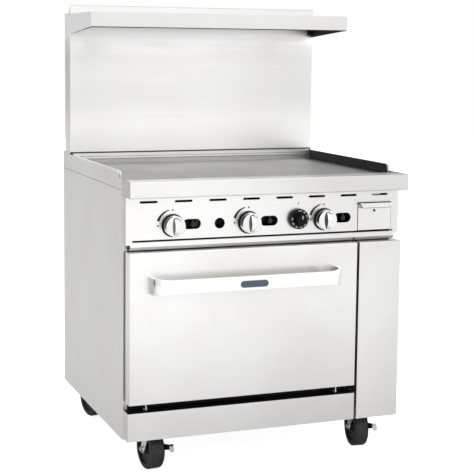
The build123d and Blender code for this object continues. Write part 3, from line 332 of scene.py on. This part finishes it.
# The grades follow the studio light in the photograph, at heights and widths in metres.
MATERIALS = {
    # door and kick panel: painted shade, darker to the right and towards the foot
    "front": brushed("front_steel", STEEL, 0.32, grades=(
        ("X", -0.45, 0.30, 1.0, 0.89), ("Z", 0.205, 0.215, 0.97, 1.0),
        ("Z", 0.22, 0.60, 0.83, 1.0), ("Z", 0.14, 0.30, 0.95, 1.0))),
    # right column: painted shade, darker to the right and towards the foot
    "column": brushed("column_steel", STEEL, 0.32, grades=(
        ("X", 0.30, 0.46, 0.86, 0.82), ("Z", 0.14, 0.50, 0.90, 1.0))),
    # control panel: painted shade, darker to the right and on its left end, a painted shadow strip under
    # the landing, a darker lower edge
    "panel": brushed("panel_steel", (0.97, 0.97, 0.96), 0.30, soil=0.03, grades=(
        ("X", -0.35, 0.45, 0.97, 0.79), ("Z", 0.8705, 0.8712, 1.0, 0.30), ("Z", 0.7185, 0.7200, 0.78, 1.0)),
        facings=((LEFT, 0.5, 0.9, 1.0, 0.70),)),
    # drawer front: a painted shadow line and a painted highlight line along its bent pull, painted shade on
    # its upward and left faces
    "drawer": brushed("drawer_front_steel", (0.80, 0.80, 0.795), 0.30, soil=0.03, grades=(
        ("Z", 0.8120, 0.8124, 1.0, 0.45), ("Z", 0.8146, 0.8150, 1.0, 2.3),
        ("Y", -0.3700, -0.3690, 0.98, 1.0)),
        facings=((UP, 0.8, 0.98, 1.0, 0.25), (LEFT, 0.5, 0.9, 1.0, 0.3))),
    # landing: painted shade, darker on top, to the right, along its lower edge and on its left end
    "landing": brushed("landing_steel", STEEL, 0.28, soil=0.05, grades=(
        ("Z", 0.9180, 0.9215, 1.0, 0.72), ("X", -0.45, 0.45, 0.94, 0.72), ("Z", 0.872, 0.8765, 0.72, 1.0)),
        facings=((LEFT, 0.5, 0.9, 1.0, 0.66),)),
    # backguard: painted light at its foot and under the shelf, painted shade at both sides
    "guard": brushed("guard_steel", (0.90, 0.90, 0.895), 0.32, soil=0.01, wave=0.02, grades=(
        ("Z", 1.02, 1.16, 1.05, 0.86), ("X", -0.45, -0.15, 0.93, 1.0), ("X", 0.0, 0.42, 1.0, 0.87),
        ("Z", 1.27, 1.41, 1.0, 1.60))),
    # high shelf: painted shade below its deck and on the raised rear edge, painted light on the left end
    "shelf": brushed("shelf_steel", (0.69, 0.69, 0.685), 0.26, soil=0.03, grades=(
        ("Z", 1.4236, 1.4246, 0.94, 1.02), ("Z", 1.4500, 1.4510, 1.0, 0.82)),
        facings=((LEFT, 0.5, 0.9, 1.0, 2.0),)),
    # rear splash: painted shadow lines and painted highlight lines along its folds
    "rear": brushed("rear_splash_steel", (0.90, 0.90, 0.895), 0.30, soil=0.04, grades=(
        ("Z", 0.9255, 0.9260, 0.58, 0.30), ("Z", 0.9280, 0.9285, 1.0, 3.3),
        ("Z", 0.9333, 0.9337, 1.0, 0.45), ("Z", 0.9355, 0.9359, 1.0, 2.2))),
    "tray": brushed("tray_steel", (0.78, 0.78, 0.775), 0.34, GRAIN_Y, soil=0.12),
    # casings and side sheets: a painted shadow line along the joint where they meet
    "casing": brushed("casing_steel", (0.80, 0.80, 0.795), 0.34, GRAIN_Y, grades=(
        ("Z", 0.8900, 0.8912, 0.10, 1.0),)),
    "side": brushed("side_sheet", (0.82, 0.82, 0.815), 0.42, GRAIN_Z, soil=0.03, grades=(
        ("Z", 0.8876, 0.8886, 1.0, 0.10),)),
    "polished": handle_material("polished_handle"),
    # knobs: painted reflection, nearly black on faces that look up and to the left, and painted shade on
    # faces that look down
    "chrome": painted("bright_chrome", (0.93, 0.93, 0.93), 0.07, metallic=1.0, peel=0.03, soil=0.03,
                      facings=((UPPER_LEFT, 0.55, 0.80, 1.0, 0.03), (DOWN, 0.8, 0.98, 1.0, 0.35))),
    "galvanised": brushed("galvanised_sheet", (0.55, 0.56, 0.57), 0.48, GRAIN_Z, depth=0.3, soil=0.2),
    # burner box: near black, soot together with painted shade for the slots it shows through
    "soot_and_shade": painted("soot_and_shade_sheet", (0.012, 0.012, 0.012), 0.8, peel=0.3, soil=0.3),
    "zinc": brushed("zinc_plate", (0.90, 0.90, 0.88), 0.32, GRAIN_Z, depth=0.15, soil=0.12),
    "bolt": painted("plated_bolt", (0.66, 0.66, 0.63), 0.28, metallic=1.0, peel=0.1, soil=0.2),
    "griddle": griddle_surface("griddle_steel"),
    "splash": splash_material("griddle_splash"),
    "black_steel": painted("black_steel", (0.006, 0.006, 0.0065), 0.5, peel=0.3, soil=0.3, specular=0.2),
    "enamel": painted("oven_enamel", (0.055, 0.06, 0.075), 0.28, coat=0.5, peel=0.15, soil=0.3),
    "plastic": painted("black_plastic", (0.005, 0.005, 0.0055), 0.40, peel=0.2, soil=0.2, specular=0.12),
    "ink": painted("black_print", (0.004, 0.004, 0.004), 0.5, peel=0.05, soil=0.1),
    "white_ink": painted("white_print", (0.80, 0.80, 0.78), 0.5, peel=0.05, soil=0.05),
    "rubber": rubber("tread_rubber", (0.013, 0.013, 0.0135)),
    "brake": brake_material("brake_lever"),
    "brass": brushed("machined_brass", (0.78, 0.60, 0.28), 0.32, GRAIN_X, soil=0.25, warm=(1.0, 0.9, 0.7)),
    "valve": painted("pilot_valve_steel", (0.05, 0.05, 0.05), 0.4, metallic=0.9, peel=0.2, soil=0.3),
    "iron": painted("burner_iron", (0.055, 0.052, 0.050), 0.62, peel=0.6, soil=0.4),
    "pipe": painted("gas_pipe", (0.02, 0.02, 0.022), 0.45, peel=0.3, soil=0.3),
    "wire": painted("plated_wire", (0.74, 0.74, 0.73), 0.2, metallic=1.0, peel=0.1, soil=0.15),
    "wool": wool_material("mineral_wool"),
    "braid": braid_material("door_seal"),
}

LOOK = {
    "base_frame": "galvanised", "inner_casing": "galvanised", "left_side_panel": "side",
    "right_side_panel": "side", "back_panel": "galvanised", "kick_panel": "front",
    "right_column_panel": "column", "control_panel": "panel", "landing_ledge": "landing",
    "top_casings": "casing", "griddle_plate": "griddle", "griddle_side_splashes": "splash",
    "griddle_rear_splash": "rear", "grease_trough": "tray", "backguard_front": "guard",
    "backguard_back": "galvanised", "high_shelf": "shelf", "shelf_support_frame": "black_steel",
    "burner_box": "soot_and_shade", "griddle_burners": "iron", "gas_manifold": "pipe",
    "burner_valves": "brass", "thermostat_valve": "brass", "pilot_valves": "valve",
    "knob_bezels": "plastic", "burner_knob_1": "chrome", "burner_knob_2": "chrome",
    "burner_knob_3": "chrome", "thermostat_knob": "plastic", "grease_drawer": "tray",
    "grease_drawer_front": "drawer", "drawer_rails": "galvanised", "oven_liner": "enamel",
    "oven_insulation": "wool", "oven_floor": "enamel", "oven_burner": "iron",
    "rack_guides": "wire", "oven_rack": "wire", "oven_face_frame": "black_steel",
    "door_gasket": "braid", "flue_duct": "galvanised", "door_outer_skin": "front",
    "door_insulation": "wool", "door_inner_panel": "enamel", "door_handle": "polished",
    "door_hinge_arms": "bolt", "hinge_brackets": "black_steel", "hinge_pins": "bolt",
    "caster_plates": "black_steel", "caster_bolts": "bolt",
}
for name, obj in nodes.items():
    if name.startswith("caster_fork"):
        look = "zinc"
    elif name.startswith("caster_wheel"):
        look = "rubber"
    elif name.startswith("brake_pedal"):
        look = "brake"
    else:
        look = LOOK[name]
    obj.data.materials.clear()
    obj.data.materials.append(MATERIALS[look])

# ------------------------------------------------------------------ places, in metres
Y_FACE = -0.380  # front of the oven body
Y_PANEL = Y_FACE + 0.023
Z_CONTROL = 0.782
BACK_Y = Y_FACE + 0.796
KNOB_X = (-0.308, -0.063, 0.191)
KNOB_FACE_Y = Y_PANEL - 0.033
THERMO_X = 0.102
THERMO_Z = 0.787
RING_Y = Y_PANEL - 0.0165  # face of the thermostat's numeral ring
CAP_Y = Y_PANEL - 0.039  # face of its cap
NUMERAL_R = 0.0255
NUMERAL_STEP = 34  # degrees
PRINT = 0.00012  # thickness of printed ink
INK_LIFT = 0.0001  # how far the middle of a mark lies in front of the knob's face
ARC_R = 0.0478
ARC_STEPS = 40
DOT_R = 0.0027
DOT_PLACE_R = 0.0465
WHEEL_R = 0.0635
CASTER_TRAIL = 0.036
FORK_HALF = 0.0319  # from the wheel's middle to the outside of the fork
CASTERS = {  # x, depth from the front of the body, swivel in degrees
    "front_left": (-0.335, 0.100, -6.0), "front_right": (0.375, 0.100, 8.0),
    "rear_left": (-0.352, 0.708, -14.0), "rear_right": (0.360, 0.708, 6.0),
}

# ------------------------------------------------------------------ mesh helpers


def piece(name, bm, look, body):
    """Turns a bmesh into a piece with its material, riding on a body."""
    mesh = bpy.data.meshes.new(name)
    bmesh.ops.recalc_face_normals(bm, faces=bm.faces)
    bm.to_mesh(mesh)
    bm.free()
    obj = bpy.data.objects.new(name, mesh)
    scene.collection.objects.link(obj)
    mesh.materials.append(MATERIALS[look])
    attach(obj, body)


def tapered_arc(bm, x, z, start, end):
    """Printed band round a knob, wide at its start, between two angles counted anticlockwise from +X."""
    rows = []
    for i in range(ARC_STEPS + 1):
        t = i / ARC_STEPS
        angle = math.radians(start + (end - start) * t)
        half = 0.0036 * (1 - t) ** 0.7 + 0.0009
        rows.append([
            bm.verts.new((x + r * math.cos(angle), y, z + r * math.sin(angle)))
            for r, y in (
                (ARC_R - half, Y_PANEL), (ARC_R + half, Y_PANEL),
                (ARC_R + half, Y_PANEL - PRINT), (ARC_R - half, Y_PANEL - PRINT),
            )
        ])
    for a, b in zip(rows, rows[1:]):
        for k in range(4):
            bm.faces.new((a[k], a[(k + 1) % 4], b[(k + 1) % 4], b[k]))
    bm.faces.new(rows[0])
    bm.faces.new(reversed(rows[-1]))


def lathe(bm, matrix, profile, steps):
    """Closed shape turned about the local Z of a matrix.

    Its outline is a list of (radius, height) pairs that starts and ends on the axis."""
    rings = []
    for r, h in profile:
        if r < 1e-7:
            rings.append([bm.verts.new(matrix @ Vector((0, 0, h)))])
        else:
            rings.append([
                bm.verts.new(matrix @ Vector((r * math.cos(a), r * math.sin(a), h)))
                for a in (2 * math.pi * i / steps for i in range(steps))
            ])
    for a, b in zip(rings, rings[1:]):
        for i in range(steps):
            j = (i + 1) % steps
            quad = [a[i % len(a)], a[j % len(a)], b[j % len(b)], b[i % len(b)]]
            unique = list(dict.fromkeys(quad))
            if len(unique) > 2:
                bm.faces.new(unique)


def facing(place, normal):
    """Matrix at a place whose local Z is the normal."""
    turn = Vector(normal).to_track_quat("Z", "Y").to_matrix().to_4x4()
    return Matrix.Translation(Vector(place)) @ turn


def pan_screw(bm, matrix, r, h):
    """Pan-head screw with a cross recess."""
    dome = [(r * 0.93, h * 0.7), (r * 0.72, h * 0.93), (r * 0.4, h)]
    lathe(bm, matrix, [(0, -0.0004), (r, -0.0004), (r, h * 0.35), *dome, (0, h)], 24)
    for spin in (0, math.pi / 2):
        bar = bmesh.ops.create_cube(bm, size=1.0)["verts"]
        m = matrix @ Matrix.Rotation(spin, 4, "Z") @ Matrix.Translation((0, 0, h))
        for v in bar:
            v.co = m @ Vector((v.co.x * r * 1.15, v.co.y * r * 0.24, v.co.z * 0.0004))


def hex_head(bm, matrix, across, h):
    """Hexagon head with a chamfered top and a washer face."""
    r = across / 2 / math.cos(math.pi / 6)
    washer = [(across * 0.62, 0), (across * 0.62, h * 0.14)]
    head = [(r, h * 0.14), (r, h * 0.86), (across * 0.46, h)]
    lathe(bm, matrix, [(0, 0), *washer, *head, (0, h)], 6)


def bevelled(obj, width):
    """Softens the sharp edges of a node from the CAD."""
    weld = obj.modifiers.new("weld", "WELD")
    weld.merge_threshold = 0.00001
    mod = obj.modifiers.new("bevel", "BEVEL")
    mod.width = width
    mod.segments = 2
    mod.limit_method = "ANGLE"
    mod.angle_limit = math.radians(40)
    mod.harden_normals = True


for name, width in (
    ("kick_panel", 0.0006), ("right_column_panel", 0.0006), ("high_shelf", 0.0005),
    ("backguard_front", 0.0005), ("top_casings", 0.0005), ("left_side_panel", 0.0004),
    ("right_side_panel", 0.0004), ("griddle_side_splashes", 0.0008), ("oven_face_frame", 0.0006),
    ("door_handle", 0.0010),
):
    bevelled(nodes[name], width)

# ------------------------------------------------------------------ printed marks on the control panel
bm = bmesh.new()
for x in KNOB_X:
    tapered_arc(bm, x, Z_CONTROL, 163, 103)
piece("burner_setting_arcs", bm, "ink", "range_body")

bm = bmesh.new()
for x in KNOB_X:
    for angle in (180, 90):
        a = math.radians(angle)
        place = (x + DOT_PLACE_R * math.cos(a), Y_PANEL, Z_CONTROL + DOT_PLACE_R * math.sin(a))
        lathe(bm, facing(place, FORWARDS), [(0, 0), (DOT_R, 0), (DOT_R, PRINT), (0, PRINT)], 20)
piece("burner_setting_dots", bm, "ink", "range_body")

bm = bmesh.new()
narrow = Matrix.Diagonal((0.35, 1, 1, 1))
lathe(bm, facing((THERMO_X + 0.001, Y_PANEL, THERMO_Z + 0.0475), FORWARDS) @ narrow,
      [(0, 0), (0.0042, 0), (0.0042, PRINT), (0, PRINT)], 20)
piece("thermostat_tick", bm, "ink", "range_body")

# ------------------------------------------------------------------ dial numerals and pointer


def numeral(text, name, x, y, z, size, turn, body):
    """White numeral that faces forwards, turned clockwise by an angle in degrees."""
    curve = bpy.data.curves.new(name, "FONT")
    curve.body = text
    curve.size = size
    curve.align_x = "CENTER"
    curve.align_y = "CENTER"
    curve.extrude = 0.00006
    curve.resolution_u = 3
    obj = bpy.data.objects.new(name, curve)
    scene.collection.objects.link(obj)
    upright = Matrix.Rotation(math.pi / 2, 4, "X")
    obj.matrix_world = Matrix.Translation((x, y, z)) @ Matrix.Rotation(math.radians(turn), 4, "Y") @ upright
    curve.materials.append(MATERIALS["white_ink"])
    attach(obj, body)


for i, text in enumerate(("OFF", "150", "200", "250", "300", "350", "400", "450", "500")):
    a = math.radians(90 - i * NUMERAL_STEP)
    numeral(text, f"dial_numeral_{i + 1}", THERMO_X + NUMERAL_R * math.cos(a), RING_Y - INK_LIFT,
            THERMO_Z + NUMERAL_R * math.sin(a), 0.0066, i * NUMERAL_STEP, "thermostat_knob")

bm = bmesh.new()
bar = bmesh.ops.create_cube(bm, size=1.0)["verts"]
for v in bar:
    v.co = Vector((
        THERMO_X + v.co.x * 0.0022,
        CAP_Y - INK_LIFT + v.co.y * 0.0003,
        THERMO_Z + 0.008 + v.co.z * 0.010,
    ))
bmesh.ops.bevel(bm, geom=list(bm.edges), offset=0.00012, segments=2, affect="EDGES")
piece("thermostat_pointer", bm, "white_ink", "thermostat_knob")

# ------------------------------------------------------------------ small marks and screws
for i, x in enumerate(KNOB_X, 1):
    bm = bmesh.new()
    bar = bmesh.ops.create_cube(bm, size=1.0)["verts"]
    for v in bar:
        v.co = Vector((
            x + 0.0125 + v.co.x * 0.0065 - v.co.z * 0.0010,
            KNOB_FACE_Y - INK_LIFT + v.co.y * 0.0003,
            Z_CONTROL + 0.0195 + v.co.z * 0.0018 + v.co.x * 0.0020,
        ))
    bmesh.ops.bevel(bm, geom=list(bm.edges), offset=0.0001, segments=2, affect="EDGES")
    piece(f"knob_mark_{i}", bm, "ink", f"burner_knob_{i}")

bm = bmesh.new()
pan_screw(bm, facing((0.368, Y_PANEL - 0.0001, 0.803), FORWARDS), 0.0042, 0.0024)
piece("drawer_front_screw", bm, "ink", "grease_drawer_body")

for place, (x, depth, swivel) in CASTERS.items():
    a = math.radians(swivel)
    across = Vector((math.cos(a), -math.sin(a), 0.0))
    hub = Vector((x + CASTER_TRAIL * math.sin(a), Y_FACE + depth + CASTER_TRAIL * math.cos(a), WHEEL_R))
    bm = bmesh.new()
    hex_head(bm, facing(hub - across * FORK_HALF, -across), 0.0125, 0.0042)
    piece(f"axle_head_{place}", bm, "bolt", f"caster_fork_{place}")

bm = bmesh.new()
for x in (-0.44, -0.22, 0.22, 0.44):
    for z in (0.28, 0.62, 0.96):
        pan_screw(bm, facing((x, BACK_Y, z), BACKWARDS), 0.005, 0.0026)
piece("back_panel_screws", bm, "bolt", "range_body")

# ------------------------------------------------------------------ camera


def aim(cam, yaw, pitch, roll):
    """Turns the camera: yaw towards +X from +Y, pitch downwards, roll clockwise, in degrees."""
    yaw, pitch, roll = (math.radians(angle) for angle in (yaw, pitch, roll))
    level = math.cos(pitch)
    forward = Vector((math.sin(yaw) * level, math.cos(yaw) * level, -math.sin(pitch)))
    right = Vector((math.cos(yaw), -math.sin(yaw), 0.0))
    up = right.cross(forward)
    x = right * math.cos(roll) + up * math.sin(roll)
    z = -forward
    cam.matrix_world = Matrix.Translation(cam.location) @ Matrix((x, z.cross(x), z)).transposed().to_4x4()


cam_data = bpy.data.cameras.new("camera")
cam = bpy.data.objects.new("camera", cam_data)
scene.collection.objects.link(cam)
cam.location = (-1.4785, -3.8341, 1.3037)
aim(cam, 20.4325, 6.464, 0.539)
cam_data.sensor_width = 36.0
cam_data.lens = 93.9
cam_data.shift_x = 0.0526
cam_data.shift_y = -0.0980
scene.camera = cam

# ------------------------------------------------------------------ floor, world, lights
world = bpy.data.worlds.new("studio")
scene.world = world
world.use_nodes = True
world.node_tree.nodes.clear()
w = Nodes(world.node_tree)
coord = w.add("ShaderNodeTexCoord")
split = w.add("ShaderNodeSeparateXYZ")
w.link(coord.outputs["Generated"], split.inputs["Vector"])
# lighter towards +X, above and in front, darker behind, with one dark flag at the left
side = w.ramp(split.outputs["X"], -1.0, -0.1, 0.98, 1.30, True)
back = w.ramp(split.outputs["Y"], -0.2, 0.9, 1.0, 0.66, True)
up = w.ramp(split.outputs["Z"], -0.1, 0.7, 0.98, 1.06, True)
front = w.ramp(split.outputs["Y"], -0.95, -0.35, 1.22, 1.0, True)
flag = w.add("ShaderNodeVectorMath", operation="DOT_PRODUCT")
flag.inputs[1].default_value = (-0.927, 0.369, 0.0)
w.link(coord.outputs["Generated"], flag.inputs[0])
dark = w.ramp(flag.outputs["Value"], 0.955, 0.985, 1.0, 0.05, True)
level = side
for part in (back, up, front, dark):
    level = w.math("MULTIPLY", level, part)
lit = w.add("ShaderNodeBackground")
w.link(level, lit.inputs["Strength"])
plain = w.add("ShaderNodeBackground")
plain.inputs["Strength"].default_value = 1.0
plain.inputs["Color"].default_value = (1, 1, 1, 1)
path = w.add("ShaderNodeLightPath")
chooser = w.add("ShaderNodeMixShader")
w.link(path.outputs["Is Camera Ray"], chooser.inputs["Fac"])
w.link(lit.outputs["Background"], chooser.inputs[1])
w.link(plain.outputs["Background"], chooser.inputs[2])
world_out = w.add("ShaderNodeOutputWorld")
w.link(chooser.outputs["Shader"], world_out.inputs["Surface"])


def area(name, place, target, size, power):
    """Rectangular light at a place, turned towards a target."""
    data = bpy.data.lights.new(name, "AREA")
    data.shape = "RECTANGLE"
    data.size, data.size_y = size
    data.energy = power
    light = bpy.data.objects.new(name, data)
    scene.collection.objects.link(light)
    light.location = place
    light.rotation_euler = (Vector(target) - Vector(place)).to_track_quat("-Z", "Y").to_euler()


area("front_soft", (0.9, -3.6, 2.7), (0.0, 0.0, 0.8), (2.8, 1.6), 12.0)
area("top_soft", (0.0, -0.2, 3.6), (0.0, 0.0, 0.9), (3.0, 3.0), 8.0)

floor_mesh = bpy.data.meshes.new("floor")
bm = bmesh.new()
bmesh.ops.create_grid(bm, x_segments=8, y_segments=8, size=14.0)
bm.to_mesh(floor_mesh)
bm.free()
floor = bpy.data.objects.new("floor", floor_mesh)
scene.collection.objects.link(floor)
mat, n, shader = new_material("floor_paint")
base = n.mix(n.noise(n.coords(), 2.0, 3.0), (0.82, 0.82, 0.82), (0.79, 0.79, 0.79))
n.link(base, shader.inputs["Base Color"])
shader.inputs["Roughness"].default_value = 0.9
shader.inputs["Emission Color"].default_value = (1, 1, 1, 1)
# the camera sees a nearly white floor, and the floor well in front of the range throws a little light
ray = n.add("ShaderNodeLightPath")
n.link(n.math("MAXIMUM", n.ramp(ray.outputs["Is Camera Ray"], 0.0, 1.0, 0.0, 0.85),
              n.ramp(n.axes()["Y"], -1.1, -0.5, 0.17, 0.0, True)), shader.inputs["Emission Strength"])
floor_mesh.materials.append(mat)

scene.view_settings.view_transform = "Standard"
